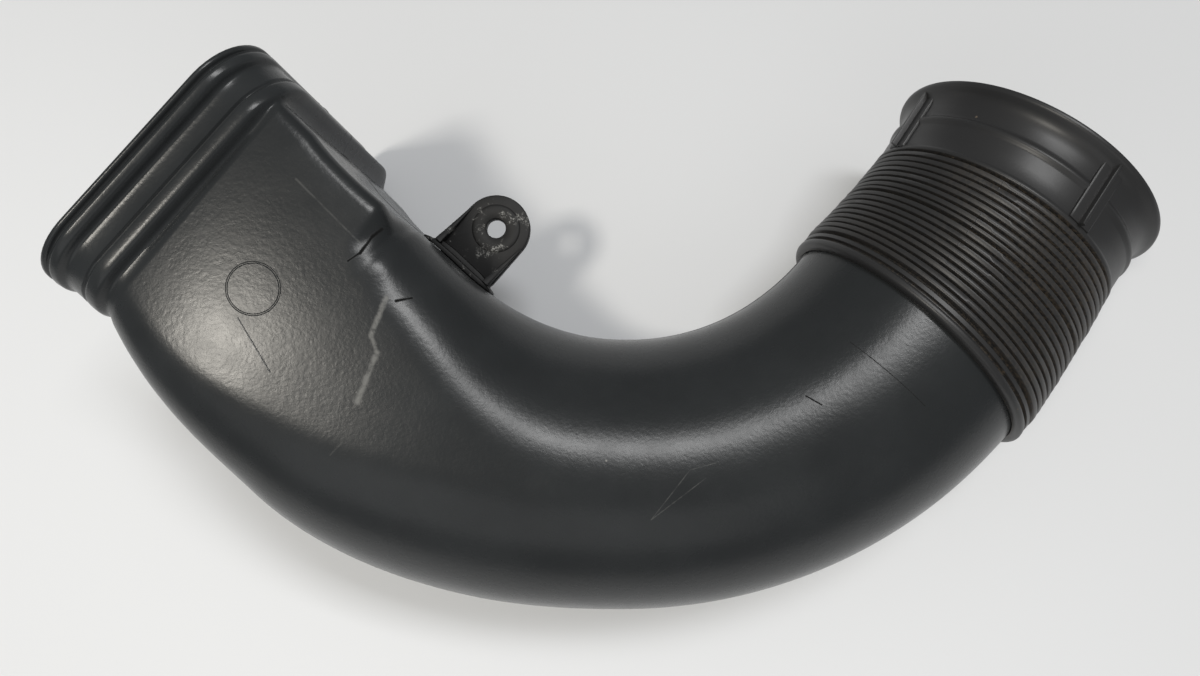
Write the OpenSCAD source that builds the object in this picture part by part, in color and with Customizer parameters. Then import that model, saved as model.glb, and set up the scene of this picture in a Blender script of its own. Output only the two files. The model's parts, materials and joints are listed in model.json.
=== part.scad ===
// Cold air intake pipe: a blow moulded duct that leads from a tall rectangular
// mouth, through a long bend, to a round pipe with a corrugated rubber hose on it.
// It lies on its side: on the mouth, the outside of the bend and the hose's lip.

/* [Mouth] */
// Width of the mouth over its outer lip
mouth_w = 100; // [90:1:112]
// Height of the mouth over its outer lip
mouth_h = 140; // [124:1:150]
// Corner radius of the mouth's outer lip
mouth_r = 21; // [14:1:28]
// Angle between the mouth's plane and the duct's own cross-section
mouth_skew = 31.8; // [20:0.2:36]
// Length of the stepped rim, from the mouth to the plain duct
rim_len = 21; // [16:0.5:26]
// How far the outer lip stands above and below the plain duct behind the rim
rim_step = 7.5; // [5:0.5:9]
// How far the outer lip stands out from the plain duct at its two sides
side_step = 2.4; // [1.6:0.2:5]
// Thickness of the thin outer lip
lip_t = 1.8; // [1.2:0.1:2.4]
// Width of the rounded bead behind the outer lip
bead_w = 4.4; // [3:0.2:5.4]

/* [Duct] */
// Outer diameter of the round pipe
pipe_d = 99; // [90:0.5:106]
// Wall thickness of the blow moulded duct
wall = 2.6; // [1.8:0.1:3.4]
// Radius of the bend along the middle of the duct
bend_r = 134; // [126:0.5:145]
// Turn of the bend, from the rim to the round pipe's end
bend_turn = 122; // [116:0.5:128]
// How far the middle of the duct runs outside the bend at the rim
run_out = 11; // [8:0.5:16]
// How far the middle of the duct bellies outward between the rim and the round pipe
belly = 4.6; // [0:0.2:6]
// How much wider than the pipe the duct swells on each side in mid bend
swell = 3.6; // [0:0.2:5]
// Straight end of the pipe inside the hose
spigot_len = 24; // [16:0.5:30]
// How far the pipe's end inside the hose is necked in all round
neck_in = 3.6; // [3:0.2:6]

/* [Mounting ear] */
// Place of the ear along the bend, from the rim
ear_turn = 28; // [25:0.5:32]
// Distance from the ear's seat to the middle of its hole
ear_reach = 20.5; // [18:0.5:24]
// Radius of the ear's rounded end
ear_r = 13; // [11:0.5:15]
// Diameter of the hole for the fixing screw
ear_hole_d = 7.5; // [5:0.1:9]
// Thickness of the ear's plate
ear_t = 4; // [3:0.2:6]
// Length of the ear's foot along the duct
foot_len = 34; // [30:1:38]
// Height of the ear's foot
foot_h = 15; // [10:0.5:20]
// Thickness of the ear's foot
foot_t = 4; // [3:0.2:5]

/* [Hose] */
// Length of the hose that shows, from its thick lip to its open end
hose_len = 83; // [78:1:90]
// Turn of the soft corrugations, further round the same way as the bend
hose_bend = 7; // [3:0.5:8]
// Length of the thick lip that grips the pipe
grip_len = 7; // [6:0.5:9]
// Thickness of the thick lip round the pipe
grip_wall = 3.2; // [2.8:0.1:5]
// Number of corrugations
rib_count = 17; // [10:1:18]
// How much smaller in radius the corrugations are at the cuff than at the lip
rib_taper = 4.2; // [2:0.2:4.6]
// Depth of the gaps between the corrugations
gap_depth = 2.6; // [1.6:0.1:3]
// Share of each corrugation's pitch that its flat crest takes
crest_share = 0.64; // [0.5:0.02:0.75]
// Thickness of the hose's wall under the gaps
fold_wall = 1.6; // [1.2:0.1:1.8]
// Length of the smooth cuff at the open end
cuff_len = 25; // [22:0.5:28]
// Wall thickness of the smooth cuff
cuff_wall_t = 2.4; // [2:0.1:3]
// How far the flared lip of the open end stands out from the cuff
flare_out = 3.6; // [2.8:0.1:5]
// Gap between the hose and the pipe inside it
fit_gap = 0.3; // [0.2:0.05:0.4]

/* [Hidden] */
$fn = 96;

// Fineness of the duct: quarters of its sections, steps along the bend
quarter_steps = 9;
bend_steps = 40;

pipe_r = pipe_d / 2;
box_w = mouth_w - 2 * side_step;
box_h = mouth_h - 2 * rim_step;
box_r = mouth_r - rim_step / 2;

function mix(a, b, share) = a + (b - a) * share;
function clamp(x) = min(1, max(0, x));
// Eases from 1 at the start to 0 where x reaches 1
function fade(x) = let (c = clamp(x)) 1 - c * c * (3 - 2 * c);

// Shares of the bend over which the duct's sections turn round
height_share = 0.8;
width_share = 0.34;
corner_share = 0.44;
skew_share = 0.33;
swell_share = 0.295;
belly_share = 0.3;
out_share = 0.23;

// Half width, half height and corner radius of the section at a share of the bend
function hump(u, peak) = fade((u - peak) / peak) - fade(u / peak);
function half_w(u) = pipe_r + (box_w / 2 - pipe_r) * fade(u / width_share) + swell * hump(u, swell_share);
function half_h(u) = pipe_r + (box_h / 2 - pipe_r) * fade(u / height_share);
function corner_r(u) = min(half_w(u), half_h(u)) * mix(1, box_r / (box_w / 2), fade(u / corner_share));

// One quarter turn after another of a rounded rectangle, as [across, up]
function rounded_section(half_wide, half_high, r) = [
    for (corner = [0:3])
        let (cx = (corner == 0 || corner == 3) ? half_wide - r : r - half_wide)
        let (cy = corner < 2 ? half_high - r : r - half_high)
        for (step = [0:quarter_steps])
            let (a = 90 * (corner + step / quarter_steps))
            [cx + r * cos(a), cy + r * sin(a)]
];
section_points = 4 * (quarter_steps + 1);

// A section stood up in the bend's frame: centre in plan, heading of its outward face, 2-D outline
function stand(centre, heading, outline) = [
    for (p = outline) [centre[0] + p[0] * cos(heading), centre[1] + p[0] * sin(heading), p[1]]
];

// The bend turns about the origin: the rim at 180 degrees plus rim_angle, the pipe's end last
rim_angle = 197.3;
function turn_at(u) = rim_angle + bend_turn * u;
function middle_r(u) = bend_r + run_out * fade(u / out_share) + belly * hump(u, belly_share);
function middle_at(u) = middle_r(u) * [cos(turn_at(u)), sin(turn_at(u))];
function heading_at(u) = turn_at(u) + mouth_skew * fade(u / skew_share);

// The rim's skin outside: depth behind the mouth's plane, and share of the step in to the duct
lip_share = 0.16;
band_share = 0.45;
collar_share = 0.56;
collar_start = 0.66;
rim_outside = [
    [0, lip_share / 2],
    [lip_t / 4, 0],
    [lip_t, 0],
    [lip_t * 1.15, lip_share],
    [lip_t + bead_w * 0.3, lip_share / 2],
    [lip_t + bead_w * 0.6, lip_share / 2],
    [lip_t + bead_w, lip_share * 1.6],
    [lip_t + bead_w * 1.3, band_share],
    [rim_len * collar_start, collar_share],
    [rim_len * 0.92, collar_share],
    [rim_len * 0.98, collar_share * 1.2],
    [rim_len, 1]
];
// The rim's skin inside follows it a wall's thickness behind
rim_inside = [
    [0, lip_share / 2],
    [lip_t + bead_w, lip_share],
    [rim_len * collar_start, collar_share],
    [rim_len * 0.88, collar_share],
    [rim_len, 1]
];

mouth_heading = heading_at(0);
// Level direction that leads out of the mouth
mouth_out = [cos(mouth_heading - 90), sin(mouth_heading - 90)];
mouth_centre = middle_at(0) + rim_len * mouth_out;
function rim_section(depth, share, skin) = stand(
    mouth_centre - depth * mouth_out,
    mouth_heading,
    rounded_section(
        mouth_w / 2 - side_step * share - skin,
        mouth_h / 2 - rim_step * share - skin,
        mix(mouth_r, box_r, share) - skin
    )
);

end_turn = turn_at(1);
end_centre = middle_at(1);
// Level direction that leads out of the round pipe
hose_out = [cos(end_turn + 90), sin(end_turn + 90)];

function duct_section(u, skin) = stand(
    middle_at(u),
    heading_at(u),
    rounded_section(half_w(u) - skin, half_h(u) - skin, corner_r(u) - skin)
);
function spigot_section(along, r) =
    stand(end_centre + along * hose_out, end_turn, rounded_section(r, r, r));

// The pipe's end inside the hose, as depth and outer radius: full size, shoulder, neck
neck_r = pipe_r - neck_in;
spigot = [
    [grip_len * 0.45, pipe_r],
    [grip_len * 0.65, neck_r],
    [spigot_len, neck_r]
];

outer_rings = concat(
    [for (p = rim_outside) rim_section(p[0], p[1], 0)],
    [for (i = [1:bend_steps]) duct_section(i / bend_steps, 0)],
    [for (p = spigot) spigot_section(p[0], p[1])]
);
inner_rings = concat(
    [for (p = rim_inside) rim_section(p[0], p[1], wall)],
    [for (i = [1:bend_steps]) duct_section(i / bend_steps, wall)],
    [for (p = spigot) spigot_section(p[0], p[1] - wall)]
);

// A closed tube wall from rings of points outside and inside
module ring_shell(outside, inside) {
    n = section_points;
    outside_last = len(outside) - 1;
    inside_last = len(inside) - 1;
    inside_start = len(outside) * n;
    points = concat([for (ring = outside) each ring], [for (ring = inside) each ring]);
    outer_faces = [
        for (i = [0:outside_last - 1], j = [0:n - 1])
            let (k = (j + 1) % n)
            each [[i * n + j, i * n + k, (i + 1) * n + k], [i * n + j, (i + 1) * n + k, (i + 1) * n + j]]
    ];
    inner_faces = [
        for (i = [0:inside_last - 1], j = [0:n - 1])
            let (k = (j + 1) % n, a = inside_start + i * n, b = inside_start + (i + 1) * n)
            each [[a + j, b + k, a + k], [a + j, b + j, b + k]]
    ];
    start_faces = [
        for (j = [0:n - 1])
            let (k = (j + 1) % n, a = inside_start)
            each [[j, a + j, a + k], [j, a + k, k]]
    ];
    end_faces = [
        for (j = [0:n - 1])
            let (k = (j + 1) % n, a = outside_last * n, b = inside_start + inside_last * n)
            each [[a + j, a + k, b + k], [a + j, b + k, b + j]]
    ];
    polyhedron(points, concat(outer_faces, inner_faces, start_faces, end_faces), convexity = 6);
}

module duct_body() {
    color([0.09, 0.1, 0.1]) at_rest() ring_shell(outer_rings, inner_rings);
}

// Inner wall of the bend, level with its middle, and the ear's seat on it
function inner_wall(u) = middle_at(u) - half_w(u) * [cos(heading_at(u)), sin(heading_at(u))];
ear_at = ear_turn / bend_turn;
step_at = 1 / bend_steps;
ear_seat = inner_wall(ear_at);
ear_along = inner_wall(ear_at + step_at) - inner_wall(ear_at - step_at);
ear_heading = atan2(ear_along[1], ear_along[0]) + 90;
seat_gap = fit_gap / 2;
foot_steps = 8;
tab_share = 0.8;
collar_r = ear_r * 0.7;
collar_h = ear_t * 0.3;
gusset_t = ear_t * 0.6;
hole_overrun = ear_t;

// The wall's plan near the ear, turned so that the ear points along +X from its seat
function to_ear(p) = let (d = p - ear_seat) [
    d[0] * cos(ear_heading) + d[1] * sin(ear_heading),
    d[1] * cos(ear_heading) - d[0] * sin(ear_heading)
];
foot_span = foot_len / norm(ear_along) * step_at;
foot_curve = [
    for (i = [0:foot_steps]) to_ear(inner_wall(ear_at + foot_span * (1 - 2 * i / foot_steps)))
];

module ear_foot() {
    outline = concat(
        [for (p = foot_curve) p + [seat_gap, 0]],
        [for (i = [foot_steps:-1:0]) foot_curve[i] + [seat_gap + foot_t, 0]]
    );
    translate([0, 0, -foot_h / 2]) linear_extrude(foot_h) polygon(outline);
}

// Half the tab's width at its root, and where its sides touch the rounded end
root_half = foot_len * tab_share / 2;
root_x = seat_gap + foot_t / 2;
side_fall = asin((root_half - ear_r) / (ear_reach - root_x));
module ear_plate() {
    tangent = [ear_reach + ear_r * sin(side_fall), ear_r * cos(side_fall)];
    linear_extrude(ear_t, center = true) union() {
        translate([ear_reach, 0]) circle(ear_r);
        polygon([[root_x, -root_half], [tangent[0], -tangent[1]], tangent, [root_x, root_half]]);
    }
    translate([ear_reach, 0, 0]) cylinder(h = ear_t / 2 + collar_h, r = collar_r);
}

// Web that stands on the tab's side edge and falls from the foot to the plate
module ear_gusset() {
    web = [[root_x, 0], [ear_reach, 0], [ear_reach, ear_t / 2], [root_x, foot_h / 2]];
    rotate([90, 0, 0]) linear_extrude(gusset_t) polygon(web);
}

module mounting_ear() {
    color([0.1, 0.1, 0.1]) at_rest() translate(concat(ear_seat, [0])) rotate(ear_heading) difference() {
        union() {
            ear_foot();
            ear_plate();
            translate([0, root_half, 0]) ear_gusset();
            translate([0, gusset_t - root_half, 0]) ear_gusset();
        }
        translate([ear_reach, 0, -ear_t / 2 - hole_overrun])
            cylinder(h = 2 * ear_t + collar_h + hole_overrun, d = ear_hole_d);
    }
}

// Hose: a lip that grips the pipe, corrugations that turn and taper, and a cuff
rib_r = pipe_r + fit_gap + grip_wall;
rib_end_r = rib_r - rib_taper;
function rib_r_at(t) = rib_r - rib_taper * t;
function root_r_at(t) = rib_r_at(t) - gap_depth;
band_r = rib_end_r - gap_depth * 0.2;
bead_r = rib_end_r + gap_depth * 0.1;
bore_r = band_r - cuff_wall_t;
flare_r = band_r + flare_out;
lip_thick = flare_out * 0.45;
bellows_len = hose_len - grip_len - cuff_len;
pitch = bellows_len / rib_count;
crest = pitch * crest_share;
gap = pitch - crest;
// Corrugation that is narrower, which leaves a wide gap before it
wide_rib = ceil(rib_count / 2);
narrow_share = 0.7;

// Stretch of the lip that has its full thickness
thick_from = grip_len * 0.12;
thick_to = grip_len * 0.5;

// Middle line of the corrugations, an arc that goes on from the lip
fold_r = bellows_len * 180 / (PI * hose_bend);
fold_centre = end_centre + grip_len * hose_out - fold_r * [cos(end_turn), sin(end_turn)];
cuff_turn = end_turn + hose_bend;
cuff_out = [cos(cuff_turn + 90), sin(cuff_turn + 90)];
cuff_root = fold_centre + fold_r * [cos(cuff_turn), sin(cuff_turn)];
cuff_end = cuff_root + cuff_len * cuff_out;
// The wall under the gaps is a few straight tapered lengths, which lap at their joints
fold_lengths = 3;
fold_lap = rib_r * tan(hose_bend / fold_lengths);
// How far the corrugated wall runs into the lip and into the cuff
seam_lap = fold_wall * 0.6;

// Stands a shape made along +Z in plan, at a place and along a turn of the bend
module along_bend(place, turn) {
    translate(concat(place, [0])) rotate(turn) rotate([-90, 0, 0]) children();
}
module along_fold(t) {
    turn = end_turn + hose_bend * t;
    along_bend(fold_centre + fold_r * [cos(turn), sin(turn)], turn) children();
}

module hose_grip() {
    rotate_extrude() polygon([
        [pipe_r + fit_gap, 0],
        [rib_r - gap_depth * 0.3, 0],
        [rib_r, thick_from],
        [rib_r, thick_to],
        [rib_r - gap_depth * 0.3, grip_len * 0.62],
        [rib_r - gap_depth * 0.3, grip_len],
        [pipe_r - fold_wall, grip_len],
        [pipe_r - fold_wall, grip_len * 0.8],
        [pipe_r + fit_gap, grip_len * 0.6]
    ]);
}

// A tapered straight length of the fold's wall or of its bore
module fold_length(k, skin) {
    half = bellows_len / fold_lengths / 2 + fold_lap;
    r1 = root_r_at(k / fold_lengths) - skin;
    r2 = root_r_at((k + 1) / fold_lengths) - skin;
    along_fold((k + 0.5) / fold_lengths) translate([0, 0, -half]) cylinder(h = 2 * half, r1 = r1, r2 = r2);
}

module corrugation(length, r) {
    translate([0, 0, -length]) cylinder(h = length, r = r);
}

// Corrugated wall with a flat-topped ring for each corrugation
module corrugations() {
    difference() {
        union() {
            for (k = [0:fold_lengths - 1]) fold_length(k, 0);
            for (i = [0:rib_count - 1]) along_fold((i + 1) / rib_count)
                corrugation(i == wide_rib ? crest * narrow_share : crest, rib_r_at(i / rib_count));
        }
        for (k = [0:fold_lengths - 1]) fold_length(k, fold_wall);
        along_bend(end_centre - seam_lap * hose_out, end_turn) cylinder(h = grip_len, r = 2 * rib_r);
        along_bend(cuff_root + seam_lap * cuff_out, cuff_turn) cylinder(h = cuff_len, r = 2 * rib_r);
    }
}

module cuff_wall() {
    rotate_extrude() polygon([
        [root_r_at(1), 0],
        [root_r_at(1), gap],
        [rib_end_r, gap],
        [rib_end_r, 2 * gap],
        [band_r, 3 * gap],
        [band_r, cuff_len * 0.46],
        [bead_r, cuff_len * 0.5],
        [bead_r, cuff_len * 0.54],
        [band_r, cuff_len * 0.58],
        [band_r, cuff_len * 0.78],
        [flare_r - lip_thick * 0.4, cuff_len - lip_thick],
        [flare_r, cuff_len - lip_thick * 0.8],
        [flare_r, cuff_len],
        [bore_r + lip_thick, cuff_len],
        [bore_r, cuff_len - lip_thick * 1.5],
        [bore_r, 2 * gap],
        [root_r_at(1) - fold_wall, 2 * gap],
        [root_r_at(1) - fold_wall, 0]
    ]);
}

// Locating fins round the cuff, each on a pad; fin_phase is the first one's turn from the top
fin_count = 4;
fin_phase = 13;
fin_t = cuff_len * 0.05;
pad_half_angle = 7;
fin_from = cuff_len * 0.2;
fin_to = cuff_len * 0.86;
pad_r = band_r + gap_depth * 0.2;
fin_r = flare_r - lip_thick * 0.6;
fin_root_r = band_r - lip_thick;

module cuff_fin() {
    translate([fin_root_r, -fin_t / 2, fin_from]) cube([fin_r - fin_root_r, fin_t, fin_to - fin_from]);
    rotate(-pad_half_angle) translate([0, 0, fin_from])
        rotate_extrude(angle = 2 * pad_half_angle) polygon([
            [fin_root_r, 0],
            [pad_r, 0],
            [pad_r, fin_to - fin_from],
            [fin_root_r, fin_to - fin_from]
        ]);
}

module bellows_hose() {
    color([0.13, 0.13, 0.13]) at_rest() {
        along_bend(end_centre, end_turn) hose_grip();
        corrugations();
        along_bend(cuff_root, cuff_turn) {
            cuff_wall();
            for (i = [0:fin_count - 1]) rotate(fin_phase - 90 + i * 360 / fin_count) cuff_fin();
        }
    }
}

// How the part lies on its side. It stands on the mouth's lower lip and the hose's thick lip,
// and rolls over the line between them until the outside of the bend comes down.
function hose_circle(centre, turn, r) = [
    for (a = [0:5:355]) concat(centre + r * cos(a) * [cos(turn), sin(turn)], [r * sin(a)])
];
skin_points = concat(
    [for (ring = outer_rings) each ring],
    hose_circle(end_centre + thick_from * hose_out, end_turn, rib_r),
    hose_circle(end_centre + thick_to * hose_out, end_turn, rib_r),
    hose_circle(cuff_end, cuff_turn, flare_r)
);
mouth_foot = concat(
    mouth_centre + (mouth_w / 2 - mouth_r) * [cos(mouth_heading), sin(mouth_heading)],
    [-mouth_h / 2]
);
lip_foot = concat(end_centre + thick_from * hose_out, [-rib_r]);
foot_axis = (lip_foot - mouth_foot) / norm(lip_foot - mouth_foot);
bend_side = cross(foot_axis, [0, 0, 1]) / norm(cross(foot_axis, [0, 0, 1]));
foot_up = cross(bend_side, foot_axis);
clear_share = 0.3;
roll = min([
    for (p = skin_points)
        let (d = p - mouth_foot)
        if (d * bend_side > clear_share * bend_r) atan2(d * foot_up, d * bend_side)
]);
table_up = foot_up * cos(roll) - bend_side * sin(roll);
lie_angle = acos(table_up[2]);
lie_axis = cross(table_up, [0, 0, 1]) / norm(cross(table_up, [0, 0, 1]));

function turned(p) = p * cos(lie_angle) + cross(lie_axis, p) * sin(lie_angle)
    + lie_axis * (lie_axis * p) * (1 - cos(lie_angle));
lying = [for (p = skin_points) turned(p)];
function low(axis) = min([for (p = lying) p[axis]]);
function high(axis) = max([for (p = lying) p[axis]]);

module at_rest() {
    translate([-(low(0) + high(0)) / 2, -(low(1) + high(1)) / 2, -low(2)])
        rotate(lie_angle, lie_axis) children();
}

duct_body();
mounting_ear();
bellows_hose();
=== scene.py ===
"""Cold air intake pipe: blow moulded duct, screw ear and corrugated hose, on a pale table."""

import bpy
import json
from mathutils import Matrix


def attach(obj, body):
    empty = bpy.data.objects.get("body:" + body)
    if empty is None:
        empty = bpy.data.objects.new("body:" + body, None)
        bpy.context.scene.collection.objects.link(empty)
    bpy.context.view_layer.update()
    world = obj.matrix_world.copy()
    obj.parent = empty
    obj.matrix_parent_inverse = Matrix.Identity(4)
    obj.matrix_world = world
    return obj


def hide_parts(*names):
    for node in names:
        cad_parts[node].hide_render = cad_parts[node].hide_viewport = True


bl_info = {
    "name": "Cold air intake pipe",
    "version": (1, 0, 0),
    "blender": (4, 5, 0),
    "location": "3D View > Sidebar > Intake pipe",
    "description": "Builds the duct, its screw ear and its corrugated hose round the packed frame",
    "category": "Object",
}

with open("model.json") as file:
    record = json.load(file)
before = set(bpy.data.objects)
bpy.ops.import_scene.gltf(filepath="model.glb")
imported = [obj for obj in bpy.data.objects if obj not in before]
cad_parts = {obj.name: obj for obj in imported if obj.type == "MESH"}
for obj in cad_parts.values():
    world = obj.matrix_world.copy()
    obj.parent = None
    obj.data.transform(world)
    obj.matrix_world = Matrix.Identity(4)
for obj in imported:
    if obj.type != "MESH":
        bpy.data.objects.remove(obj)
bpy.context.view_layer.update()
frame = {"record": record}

import json
import math
import random

import bmesh
import bpy
from bpy.props import FloatProperty, FloatVectorProperty, IntProperty, PointerProperty
from mathutils import Matrix, Vector, noise

MM = 0.001
IMAGE_WIDTH = 1200
IMAGE_HEIGHT = 676


def fade(x):
    """Eases from 1 at the start to 0 where x reaches 1."""
    c = clamp(x)
    return 1 - c * c * (3 - 2 * c)


def hump(u, peak):
    return fade((u - peak) / peak) - fade(u / peak)


def mix(a, b, share):
    return a + (b - a) * share


def clamp(x):
    return min(1, max(0, x))


def toward(angle):
    """The unit vector at an angle in plan."""
    return Vector((math.cos(angle), math.sin(angle), 0))


def upward(z):
    return Vector((0, 0, z))


def length_property(name, description, millimetres):
    return FloatProperty(name=name, description=description, default=millimetres * MM, unit="LENGTH")


def angle_property(name, description, degrees):
    return FloatProperty(name=name, description=description, default=math.radians(degrees), subtype="ANGLE")


def strength_property(name, description, strength):
    return FloatProperty(name=name, description=description, default=strength)


def colour_property(name, description, colour):
    return FloatVectorProperty(
        name=name, description=description, default=colour, subtype="COLOR", size=3, min=0, max=1
    )


class DuctSettings(bpy.types.PropertyGroup):
    mouth_width: length_property("Mouth width", "Width of the mouth over its outer lip", 100)
    mouth_height: length_property("Mouth height", "Height of the mouth over its outer lip", 140)
    mouth_corner: length_property("Mouth corner", "Corner radius of the mouth's outer lip", 21)
    mouth_skew: angle_property("Mouth skew", "Angle between the mouth's plane and the duct's own section", 31.8)
    rim_length: length_property("Rim length", "Length of the stepped rim", 21)
    rim_step: length_property("Rim step", "How far the lip stands above the plain duct", 7.5)
    side_step: length_property("Side step", "How far the lip stands out from the duct's sides", 2.4)
    pipe_diameter: length_property("Pipe diameter", "Outer diameter of the round pipe", 99)
    wall: length_property("Wall", "Wall thickness of the blow moulded duct", 2.6)
    bend_radius: length_property("Bend radius", "Radius of the bend along the duct's middle", 134)
    bend_turn: angle_property("Bend turn", "Turn of the bend, from the rim to the pipe's end", 122)
    run_out: length_property("Run out", "How far the duct runs outside the bend at the rim", 11)
    belly: length_property("Belly", "How far the middle bellies outward in mid bend", 4.6)
    swell: length_property("Swell", "How much wider the duct swells in mid bend", 3.6)
    neck_in: length_property("Neck", "How far the pipe's end is necked in inside the hose", 3.6)
    spigot_length: length_property("Spigot", "Straight end of the pipe inside the hose", 24)
    ridge_radius: length_property("Ridge radius", "Radius of the box's ridge on the hollow side", 3.4)
    flank_drop: length_property("Flank drop", "How far the hollow side's edges fall off in mid turn", 2.4)
    flank_radius: length_property("Flank radius", "Smallest radius of the full flank past the ridge", 25)
    ridge_inset: length_property("Ridge inset", "How far the ridge stands in from the box's hollow side", 3.2)
    crown: length_property("Crown", "How far the box's broad faces bulge", 1.4)
    seam: length_property("Seam", "Height of the mould's parting line", 0.22)
    colour: colour_property("Plastic", "Colour of the moulded plastic", (0.017, 0.0185, 0.0195))
    scuff_colour: colour_property("Scuffs", "Colour where the plastic is scuffed", (0.2, 0.2, 0.19))


class EarSettings(bpy.types.PropertyGroup):
    turn: angle_property("Place", "Turn of the bend from the rim to the ear", 28)
    reach: length_property("Reach", "From the ear's seat to the middle of its hole", 20.5)
    end_radius: length_property("End radius", "Radius of the ear's rounded end", 13)
    hole_diameter: length_property("Hole", "Diameter of the screw hole", 7.5)
    thickness: length_property("Thickness", "Thickness of the ear's plate", 4)
    foot_length: length_property("Foot length", "Length of the foot along the duct", 34)
    foot_height: length_property("Foot height", "Height of the foot", 15)
    foot_thickness: length_property("Foot thickness", "Thickness of the foot", 4)
    colour: colour_property("Plastic", "Colour of the ear", (0.014, 0.014, 0.014))
    residue_colour: colour_property("Residue", "Pale residue left round the hole", (0.42, 0.42, 0.4))


class HoseSettings(bpy.types.PropertyGroup):
    length: length_property("Length", "From the thick lip to the open end", 83)
    bend: angle_property("Bend", "Turn of the corrugations", 7)
    grip_length: length_property("Grip", "Length of the lip that grips the pipe", 7)
    grip_wall: length_property("Grip wall", "Thickness of that lip round the pipe", 3.2)
    rib_count: IntProperty(name="Ribs", description="Number of corrugations", default=17, min=6, max=24)
    rib_taper: length_property("Taper", "How much smaller the ribs' radius is at the cuff", 4.2)
    gap_depth: length_property("Gap depth", "Depth of the gaps between the ribs", 2.6)
    fold_wall: length_property("Fold wall", "Thickness of the wall under the gaps", 1.6)
    cuff_length: length_property("Cuff", "Length of the smooth cuff", 25)
    cuff_wall: length_property("Cuff wall", "Wall thickness of the cuff", 2.4)
    flare_out: length_property("Flare", "How far the open end's lip stands out", 3.6)
    fit_gap: length_property("Fit gap", "Gap between the hose and the pipe in it", 0.3)
    colour: colour_property("Rubber", "Colour of the rubber", (0.02, 0.02, 0.0205))
    dirt_colour: colour_property("Dirt", "Colour of the dust in the gaps", (0.12, 0.093, 0.064))


class StageSettings(bpy.types.PropertyGroup):
    floor_colour: colour_property("Floor", "Colour of the pale table", (0.632, 0.645, 0.662))
    window_power: strength_property("Window", "Power of the side light", 14.0)
    ceiling_power: strength_property("Ceiling", "Power of the light above", 11.0)
    fill_power: strength_property("Fill", "Power of the broad light from below the picture", 6.0)
    ambient: strength_property("Ambient", "Strength of the light from all round", 0.36)
    reflected: strength_property("Reflected", "Strength of the room in reflections", 0.16)


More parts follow.
